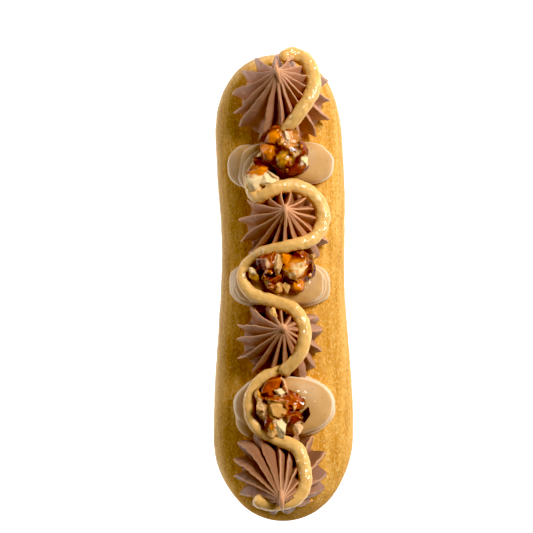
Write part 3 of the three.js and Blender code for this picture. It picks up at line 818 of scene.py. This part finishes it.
# A rosette: rings from the root to the tip, each with the star nozzle's fins, and the strand at its tip.
def rosette_mesh(rosette, seed):
    grid = fin_grid()
    share, phase = grid[:2]
    blunt = round_about(rosette, phase, "blunt")
    reach = fin_reach(rosette, grid, blunt, seed)
    angle = fin_angle(rosette, grid, seed)
    middle_x, middle_y = lean_at(rosette, share)
    x = middle_x + rosette["half"][0] * reach * np.cos(angle)
    y = middle_y + rosette["half"][1] * reach * np.sin(angle)
    seat = choux_top(*rosette["at"])
    z = rosette["height"] * share + lerp(seat_at(rosette, x, y), seat, np.maximum(share, 0))
    rings = np.stack([x, y, z], axis=-1)
    rings += jitter(rings, CREAM_GRAIN, seed)
    root = (*rosette["at"], seat + BURIED * rosette["height"])
    tip = (*lean_at(rosette, 1), seat + rosette["height"])
    points, faces = skin(rings, root, tip)
    looks = fin_looks(rosette, grid, blunt)
    for name in ("dull", "ash"):
        looks[name] = np.full(len(points), rosette[name])
    path = curve_through(np.array(TIPS[rosette["name"]]) + (*tip, 0), TIP_STEP)
    strand, strand_faces = rope_mesh(path[:, :3], path[:, 3:], sides=TIP_SIDES)
    strand_looks = {name: np.zeros(len(strand)) for name in looks}
    strand_looks["crest"] += TIP_HIGHLIGHT
    return gather([(points, faces, looks), (strand, strand_faces, strand_looks)])


# How wet with syrup the cream is at points: most beside the nuts.
def syrup_at(points):
    wet = np.zeros(len(points))
    for clump in CLUMPS:
        if not clump["syrup"]:
            continue
        pool = clump["pieces"][0]
        away_x = (points[:, 0] - pool["at"][0]) / pool["half"][0]
        away_y = (points[:, 1] - pool["at"][1]) / pool["half"][1]
        wet = np.maximum(wet, smooth((SYRUP_REACH - np.hypot(away_x, away_y)) / SYRUP_FADE))
    return wet


# A dollop's layer: a soft slab with a round rim.
def layer_mesh(layer, corner, lip, seed):
    tilt = np.linspace(-math.pi / 2, math.pi / 2, LAYER_RINGS + 2)[1:-1, None]
    around = circle(LAYER_SIDES)[None, :]
    flat = np.cos(tilt) ** (2 / LAYER_POWER)
    high = signed_power(np.sin(tilt), 2 / LAYER_POWER)
    spin = np.stack(np.broadcast_arrays(np.cos(around), np.sin(around), WAVE_RISE * high), axis=-1)
    wave = 1 + uneven(spin, LAYER_WAVE, seed) + uneven(spin, LAYER_RIPPLE, seed + 2)
    x = layer["at"][0] + layer["half"][0] * flat * wave * signed_power(np.cos(around), 2 / corner)
    y = layer["at"][1] + layer["half"][1] * flat * wave * signed_power(np.sin(around), 2 / corner)
    middle = (layer["top"] + layer["foot"]) / 2
    thick = (layer["top"] - layer["foot"]) / 2
    dome = np.where(high > 0, LAYER_DOME * (1 - flat ** 2), 0)
    z = choux_top(x, y) + middle + thick * high + dome
    rings = np.stack([x, y, z], axis=-1)
    rings[..., 2] += uneven(rings, LAYER_LUMP, seed + 1)
    base = choux_top(*layer["at"])
    bottom = (*layer["at"], base + layer["foot"])
    top = (*layer["at"], base + layer["top"] + LAYER_DOME)
    points, faces = skin(rings, bottom, top)
    pale = lip * np.exp(-((flat - LIP_REACH) / LIP_WIDTH) ** 2) * (high > LIP_LOWEST) + 0 * around
    return points, faces, {"lip": skin_values(pale, 0, 0), "syrup": syrup_at(points)}


def dollop_mesh(dollop, seed):
    layers = enumerate(dollop["layers"])
    return gather(
        [layer_mesh(layer, dollop["corner"], dollop["lip"], seed + k) for k, layer in layers]
    )


# The line's path and radius: its route laid on what carries it, then eased along its length.
def stroke_path(stroke):
    path = curve_through(stroke["route"], STROKE_STEP)
    path[:, 2] += carrier_top(path[:, 0], path[:, 1]) + path[:, 3] - STROKE_SINK
    for _ in range(STROKE_EASE):
        path[1:-1, 2] = (path[:-2, 2] + 2 * path[1:-1, 2] + path[2:, 2]) / 4
    return path[:, :3], path[:, 3:]


def stroke_mesh(stroke, seed):
    path, radius = stroke_path(stroke)
    turn = circle(STROKE_SIDES)[None, :]
    run = np.arange(len(path))[:, None] * STROKE_STEP
    grid = np.stack([run + 0 * turn, radius * np.cos(turn), radius * np.sin(turn)], axis=-1)
    swell = 1 + uneven(grid * STROKE_STRETCH, STROKE_WAVE, seed)
    swell += uneven(grid, STROKE_LUMP, seed + 1) + uneven(grid, STROKE_GRAIN, seed + 2)
    return *rope_mesh(path, radius * swell, STROKE_FLAT), {}


# Nuts.

def turned(points, degrees):
    angle = math.radians(degrees)
    x = points[:, 0] * math.cos(angle) - points[:, 1] * math.sin(angle)
    y = points[:, 0] * math.sin(angle) + points[:, 1] * math.cos(angle)
    return np.stack([x, y, points[:, 2]], axis=-1)


# Points pressed flat where they lie farther out than a plane.
def cut(points, normal, far):
    normal = normal / np.linalg.norm(normal)
    return points - np.outer(np.maximum(points @ normal - far, 0), normal)


# A nut or a piece of one: an uneven ball with flat breaks, deeper where it is broken. One that faces a
# way has a last, larger break there.
def piece_mesh(piece, level, seed):
    form = BROKEN if "broken" in piece or "facing" in piece else KEPT
    points, faces = ball(BALL_DETAIL)
    for k in range(0 if "whole" in piece else BREAKS):
        normal = np.array([draw(k, seed + axis) for axis in range(3)]) - BREAK_MIDDLE
        points = cut(points, normal, lerp(*form["cuts"], draw(k, seed + 3)))
    if "facing" in piece:
        points = cut(points, np.array(piece["facing"]), FACE_CUT)
    points *= form["growth"]
    points *= 1 + uneven(points, form["swell"], seed)[:, None]
    points *= piece["half"]
    return turned(points, piece["turn"]) + (*piece["at"], level + piece["rise"]), faces, {}


# Colour, bareness and crumb at points: those of the piece that each is nearest to. Caramel runs from
# one piece to the next and is painted darker toward the rim of each, as painted shade on its sides, and
# bare nut ends sharply.
def paint(points, pieces, level):
    near, tones = [], []
    for number, piece in enumerate(pieces):
        local = turned(points - (*piece["at"], level + piece["rise"]), -piece["turn"]) / piece["half"]
        tone = np.array(TONES[piece["tone"]])
        bare, crumbly = tone[3:]
        rim = ramp(np.hypot(local[:, 0], local[:, 1]), *RIM_SHADE_FADE)[:, None]
        tones.append(lerp(tone, np.array(TONES["dark"]), RIM_SHADE * rim * (bare == 0)))
        inside = 1 - np.linalg.norm(local, axis=1) - uneven(points, BORDER_WAVE, number)
        near.append(np.exp(lerp(WET_BLEND, BARE_BLEND, crumbly) * inside))
    near = np.array(near) / np.sum(near, axis=0)
    return np.sum(near[..., None] * np.broadcast_to(tones, (*near.shape, 5)), axis=0)


# How far points lie inside the surface's own smoothed shape, in millimetres.
def hollow(points, edges, normals, rounds):
    count = np.bincount(edges.reshape(-1), minlength=len(points))[:, None]
    eased = points.copy()
    for _ in range(rounds):
        total = np.zeros_like(points)
        np.add.at(total, edges[:, 0], eased[edges[:, 1]])
        np.add.at(total, edges[:, 1], eased[edges[:, 0]])
        eased = total / count
    return np.sum((eased - points) * normals, axis=1)


# Small bits strewn over a clump's pool, higher towards its middle.
def strewn(pool, seed):
    bits = []
    for k in range(BITS):
        angle = 2 * math.pi * draw(k, seed)
        out = math.sqrt(draw(k, seed + 1)) * BIT_SPREAD
        size = lerp(*BIT_SIZE, draw(k, seed + 2))
        x = pool["at"][0] + pool["half"][0] * out * math.cos(angle)
        y = pool["at"][1] + pool["half"][1] * out * math.sin(angle)
        half = (size, size * lerp(*BIT_WIDTH, draw(k, seed + 3)), size)
        rise = pool["rise"] + pool["half"][2] * lerp(*BIT_RISE, out)
        tone = BIT_TONES[k % len(BIT_TONES)]
        bits.append(nut((x, y), half, 360 * draw(k, seed + 4), rise, tone, broken=True))
    return bits


# The points, normals, edges and faces of meshes fused under one skin.
def fuse(parts):
    points, faces, _ = gather(parts)
    obj = add_object("fusing", points, faces, {}, [])
    remesh = obj.modifiers.new("remesh", "REMESH")
    remesh.mode = "VOXEL"
    remesh.voxel_size = CLUMP_VOXEL * MM
    soften = obj.modifiers.new("soften", "SMOOTH")
    soften.factor = CLUMP_SOFTEN
    soften.iterations = 1
    fused = bpy.data.meshes.new_from_object(obj.evaluated_get(bpy.context.evaluated_depsgraph_get()))
    bpy.data.objects.remove(obj)
    points = np.array([v.co for v in fused.vertices]) / MM
    normals = np.array([v.normal for v in fused.vertices])
    edges = np.array([e.vertices for e in fused.edges])
    faces = [list(f.vertices) for f in fused.polygons]
    bpy.data.meshes.remove(fused)
    return points, normals, edges, faces


# A clump: its pieces under one skin of caramel, painted by piece and darker in the crevices, where caramel
# pools and where shade is painted.
def clump_mesh(clump, seed):
    pool = clump["pieces"][0]
    level = float(dollop_top(DOLLOPS[clump["dollop"]], *pool["at"]))
    pieces = clump["pieces"] + (strewn(pool, seed) if clump["strewn"] else [])
    points, normals, edges, faces = fuse(
        [piece_mesh(piece, level, seed + NUT_SEED_STEP * k) for k, piece in enumerate(pieces)]
    )
    tones = paint(points, pieces, level)
    crumbly = tones[:, 4]
    ridge = smooth(-hollow(points, edges, normals, RIDGE_ROUNDS) / RIDGE_DEPTH)
    crevice = np.maximum(hollow(points, edges, normals, CREVICE_ROUNDS), 0)
    points += normals * crevice[:, None]
    # Crevices get pooled caramel and painted shade.
    deep = smooth(crevice / CREVICE_DEPTH)
    bare = tones[:, 3] * (1 - deep)
    caramel = uneven(points, CARAMEL_WAVE, seed) + uneven(points, CARAMEL_RIPPLE, seed)
    points += normals * ((1 - bare) * caramel)[:, None]
    points += normals * (bare * crumbly * uneven(points, FLESH_GRAIN, seed + 1))[:, None]
    return points, faces, {
        "tone": tones[:, :3],
        "bare": bare,
        "crumbly": crumbly,
        "ridge": ridge,
        "deep": deep,
        # Steep sides carry painted shade.
        "steep": ramp(normals[:, 2], *STEEP_FADE),
    }


# Materials.

# The sockets of a colour mix: its factor and two colours, and its result.
MIX_INPUTS = (0, 6, 7)
MIX_OUTPUT = 2


# Gives a socket another node's output, a colour or a plain value.
def feed(socket, value):
    if isinstance(value, bpy.types.NodeSocket):
        socket.id_data.links.new(value, socket)
    elif socket.type == "RGBA":
        socket.default_value = (*value, 1)
    else:
        socket.default_value = value


# Gives a node its inputs by name, with an underscore for each blank in a name.
def fill(node, inputs):
    for name, value in inputs.items():
        feed(node.inputs[name.replace("_", " ")], value)
    return node


def add_node(tree, kind, **inputs):
    return fill(tree.nodes.new(kind), inputs)


def new_material(name, **inputs):
    material = bpy.data.materials.new(name)
    material.use_nodes = True
    fill(material.node_tree.nodes["Principled BSDF"], inputs)
    return material


def coordinates(tree, stretch=(1, 1, 1)):
    place = add_node(tree, "ShaderNodeTexCoord").outputs["Object"]
    return add_node(tree, "ShaderNodeMapping", Vector=place, Scale=stretch).outputs["Vector"]


# Noise with features of about the given size in millimetres.
def grain(tree, size, detail, stretch=(1, 1, 1)):
    place = coordinates(tree, stretch)
    node = add_node(tree, "ShaderNodeTexNoise", Vector=place, Scale=1 / (size * MM), Detail=detail)
    return node.outputs["Fac"]


def attribute(tree, name, output="Fac"):
    node = add_node(tree, "ShaderNodeAttribute")
    node.attribute_name = name
    return node.outputs[output]


# A value that goes from 0 to 1 as another goes from low to high.
def between(value, low, high):
    node = add_node(value.id_data, "ShaderNodeMapRange", Value=value, From_Min=low, From_Max=high)
    return node.outputs["Result"]


def times(value, factor):
    node = value.id_data.nodes.new("ShaderNodeMath")
    node.operation = "MULTIPLY"
    feed(node.inputs[0], value)
    feed(node.inputs[1], factor)
    return node.outputs["Value"]


# A colour that goes from the first to the second as a value goes from 0 to 1.
def tint(value, first, second):
    node = value.id_data.nodes.new("ShaderNodeMix")
    node.data_type = "RGBA"
    for number, given in zip(MIX_INPUTS, (value, first, second)):
        feed(node.inputs[number], given)
    return node.outputs[MIX_OUTPUT]


# A colour with tones laid over it in turn, each where its own mask is.
def tint_by(colour, tones, masks):
    for name, (tone, strength) in tones.items():
        colour = tint(times(masks[name], strength), colour, tone)
    return colour


# How far a surface faces up: 0 on its sides and below, 1 on top.
def upward(tree, low, high):
    normal = add_node(tree, "ShaderNodeTexCoord").outputs["Normal"]
    rise = add_node(tree, "ShaderNodeSeparateXYZ", Vector=normal).outputs["Z"]
    return between(rise, low, high)


# Bumps one on another: a list of (height, strength, depth in millimetres).
def bumped(bumps):
    normal = None
    for height, strength, depth in bumps:
        tree = height.id_data
        bump = add_node(tree, "ShaderNodeBump", Height=height, Strength=strength, Distance=depth * MM)
        if normal is not None:
            feed(bump.inputs["Normal"], normal)
        normal = bump.outputs["Normal"]
    return normal


# Gives a look its bumps, the bumps of its wet coat, and what else varies over it.
def finish_material(material, bumps, wet_bumps=(), **inputs):
    inputs["Normal"] = bumped(bumps)
    if wet_bumps:
        inputs["Coat_Normal"] = bumped(wet_bumps)
    fill(material.node_tree.nodes["Principled BSDF"], inputs)
    return material


def choux_material():
    look = new_material("choux", Roughness=0.7, Specular_IOR_Level=0)
    tree = look.node_tree
    streak = between(grain(tree, 2.4, 3, (1, 0.15, 1)), 0.35, 0.65)
    place = add_node(tree, "ShaderNodeSeparateXYZ", Vector=coordinates(tree))
    bands = {}
    for name, (axis, start, end) in CHOUX_BANDS.items():
        bands[name] = between(place.outputs[axis], start * MM, end * MM)
    masks = {
        "crumb": between(grain(tree, 0.55, 2, (1, 0.65, 1)), 0.5, 0.64),
        "pores": between(grain(tree, 0.65, 2, (1, 0.65, 1)), 0.56, 0.68),
        # The low sides are paler, and paler still on the left as painted bounce light.
        "pale": times(times(bands["belly"], bands["trunk"]), bands["left"]),
        # The foot end is darkened as painted shade.
        "end": between(bands["trunk"], 0.6, 0),
        "base": bands["base"],
    }
    colour = tint(bands["crown"], tint(streak, *CHOUX_SIDE), tint(streak, *CHOUX_TOP))
    colour = tint_by(colour, CHOUX_TONES, masks)
    bumps = [(streak, 0.25, 0.3), (masks["crumb"], 0.6, 0.12), (masks["pores"], -0.6, 0.15)]
    return finish_material(look, bumps, Base_Color=colour)


def chocolate_material():
    look = new_material(
        "chocolate_cream", Roughness=0.42, Specular_IOR_Level=0.18,
        Subsurface_Weight=0.1, Subsurface_Radius=(1, 0.5, 0.25), Subsurface_Scale=0.5 * MM,
    )
    tree = look.node_tree
    cloud = between(grain(tree, 4, 3), 0.3, 0.7)
    masks = {name: attribute(tree, name) for name in CHOCOLATE_TONES}
    colour = tint_by(tint(cloud, *CHOCOLATE), CHOCOLATE_TONES, masks)
    return finish_material(look, [(grain(tree, 0.5, 3), 0.12, 0.1)], Base_Color=colour)


def vanilla_material():
    look = new_material(
        "vanilla_cream", Roughness=0.5, Specular_IOR_Level=0.3, Coat_Roughness=0.06,
        Subsurface_Weight=0.15, Subsurface_Radius=(1, 0.6, 0.3), Subsurface_Scale=0.8 * MM,
    )
    tree = look.node_tree
    cloud = between(grain(tree, 5, 3), 0.3, 0.7)
    colour = tint_by(tint(cloud, *VANILLA), VANILLA_TONES, {"lip": attribute(tree, "lip")})
    syrup = times(attribute(tree, "syrup"), between(grain(tree, 3, 2), 0.45, 0.55))
    bumps = [(grain(tree, 0.9, 3), 0.1, 0.12)]
    wet_bumps = [(grain(tree, 0.9, 1), 1, 0.3)]
    return finish_material(look, bumps, wet_bumps, Base_Color=colour, Coat_Weight=syrup)


def praline_material():
    look = new_material(
        "praline", Roughness=0.5, Specular_IOR_Level=0, Coat_Roughness=0.05, Coat_IOR=1.5,
    )
    tree = look.node_tree
    cloud = between(grain(tree, 2.6, 4), 0.3, 0.7)
    fleck = between(grain(tree, 0.5, 2), 0.6, 0.75)
    colour = tint_by(tint(cloud, *PRALINE), PRALINE_TONES, {"fleck": fleck})
    bumps = [(grain(tree, 1.8, 3), 0.4, 0.4)]
    wet_bumps = [(grain(tree, 0.6, 0), 1, 0.22)]
    wet = upward(tree, -0.1, 0.5)
    return finish_material(look, bumps, wet_bumps, Base_Color=colour, Coat_Weight=wet)


def nut_material():
    look = new_material("caramel_nut", Specular_IOR_Level=0, Coat_Roughness=0.04, Coat_IOR=1.48)
    tree = look.node_tree
    tone = attribute(tree, "tone", "Color")
    bare = attribute(tree, "bare")
    crumbly = attribute(tree, "crumbly")
    masks = {
        "cloud": between(grain(tree, 1.7, 3), 0.42, 0.66),
        "ridge": attribute(tree, "ridge"),
        "steep": attribute(tree, "steep"),
        "pits": between(grain(tree, 0.55, 3), 0.5, 0.66),
        "deep": attribute(tree, "deep"),
    }
    flesh_masks = {name: times(masks[name], crumbly) for name in FLESH_TONES}
    caramel = tint_by(tone, CARAMEL_TONES, masks)
    flesh = tint_by(tone, FLESH_TONES, flesh_masks)
    colour = tint_by(tint(bare, caramel, flesh), CREVICE_TONES, masks)
    wet = times(between(bare, 1, 0), upward(tree, 0.2, 0.65))
    rough = between(bare, -0.5, 2)
    bumps = [(times(grain(tree, 0.6, 3), crumbly), 0.8, 0.4)]
    wet_bumps = [(grain(tree, 1.2, 1), 1, 0.25), (grain(tree, 0.5, 0), 1, 0.06)]
    return finish_material(look, bumps, wet_bumps, Base_Color=colour, Coat_Weight=wet, Roughness=rough)


# Pieces.

# Adds the finer piece for each solid in a list, named after it, and gives back the pieces' meshes.
def add_pieces(solids, make_mesh, ending, look, slot):
    meshes = []
    for number, solid in enumerate(solids, start=1):
        mesh = make_mesh(solid, SEED_STEPS[ending] * number)
        piece = add_object(f"{solid['name']}_{ending}", *mesh, [look])
        settle(piece, slot, solid["name"])
        meshes.append(mesh)
    return meshes


choux_look = choux_material()
chocolate_look = chocolate_material()
vanilla_look = vanilla_material()
praline_look = praline_material()
nut_look = nut_material()
seed_look = new_material("vanilla_seed", Base_Color=VANILLA_SEED, Roughness=0.4)

choux_shape = choux_mesh()
settle(add_object("choux_skin", *choux_shape, [choux_look]), "choux", "choux")

swirl_meshes = add_pieces(ROSETTES, rosette_mesh, "swirl", chocolate_look, "chocolate_cream")
cream_meshes = add_pieces(DOLLOPS, dollop_mesh, "cream", vanilla_look, "vanilla_cream")
add_pieces(STROKES, stroke_mesh, "rope", praline_look, "praline")
add_pieces(CLUMPS, clump_mesh, "nuts", nut_look, "caramel_nut")

# Vanilla seeds and nut crumbs lie where a line straight down meets what carries them.
carrier_points, carrier_faces, _ = gather(cream_meshes + swirl_meshes + [choux_shape])
carrier_tree = BVHTree.FromPolygons(carrier_points.tolist(), carrier_faces)


def spot_under(x, y):
    return carrier_tree.ray_cast(Vector((x, y, 2 * LENGTH)), Vector((0, 0, -1)))[0]


seeds = []
for place in SPECKS:
    points, faces = ball(1)
    seeds.append((points * SPECK_RADIUS + np.array(spot_under(*place)), faces, {}))
settle(add_object("vanilla_seeds", *gather(seeds), [seed_look]), "vanilla_cream")

crumbs = []
for number, crumb in enumerate(CRUMBS):
    points, faces, _ = piece_mesh(crumb, spot_under(*crumb["at"]).z, CRUMB_SEED + number)
    points += jitter(points, CRUMB_JITTER, number)
    tone = np.tile(TONES[crumb["tone"]], (len(points), 1))
    plain = np.zeros(len(points))
    looks = {"tone": tone[:, :3], "bare": tone[:, 3], "crumbly": tone[:, 4]}
    looks.update(ridge=plain, deep=plain, steep=plain)
    crumbs.append((points, faces, looks))
settle(add_object("nut_crumbs", *gather(crumbs), [nut_look]), "caramel_nut")


# Floor, light and camera.

def add_light(name, azimuth, elevation, distance, size, power):
    light = bpy.data.lights.new(name, "AREA")
    light.shape = "RECTANGLE"
    light.size, light.size_y = size
    light.energy = power
    lamp = bpy.data.objects.new(name, light)
    around = math.radians(azimuth)
    above = math.radians(elevation)
    flat = math.cos(above)
    toward = Vector((flat * math.cos(around), flat * math.sin(around), math.sin(above)))
    lamp.location = toward * distance
    lamp.rotation_euler = toward.to_track_quat("Z", "Y").to_euler()
    bpy.context.scene.collection.objects.link(lamp)


floor_material = new_material(
    "floor", Base_Color=(FLOOR_TONE, FLOOR_TONE, FLOOR_TONE), Roughness=1, Specular_IOR_Level=0,
    Emission_Color=(1, 1, 1), Emission_Strength=FLOOR_GLOW,
)
bpy.ops.mesh.primitive_plane_add(size=FLOOR_SIZE, location=(0, 0, -FLOOR_DROP))
floor = bpy.context.object
floor.name = "floor"
floor.data.materials.append(floor_material)

# A far wall that only the camera sees, so that low views have a pale ground behind them too.
bpy.ops.mesh.primitive_cylinder_add(radius=WALL_RADIUS, depth=WALL_HEIGHT, end_fill_type="NOTHING")
wall = bpy.context.object
wall.name = "wall"
wall.data.materials.append(floor_material)
wall.visible_diffuse = False
wall.visible_glossy = False
wall.visible_transmission = False
wall.visible_shadow = False

world = bpy.data.worlds.new("room")
bpy.context.scene.world = world
world.use_nodes = True
fill(world.node_tree.nodes["Background"], {"Color": (1, 1, 1), "Strength": ROOM_LIGHT})

for name, light in LIGHTS.items():
    add_light(name, **light)

lens = bpy.data.cameras.new("camera")
lens.sensor_width = SENSOR
lens.lens = SENSOR / 2 / HALF_VIEW
camera = bpy.data.objects.new("camera", lens)
camera.location = Vector(CAMERA_AT) * MM
bpy.context.scene.collection.objects.link(camera)
bpy.context.scene.camera = camera

view = bpy.context.scene.view_settings
view.view_transform = "Standard"
view.use_curve_mapping = True
view.curve_mapping.black_level = (BLACK_POINT, BLACK_POINT, BLACK_POINT)
view.curve_mapping.update()
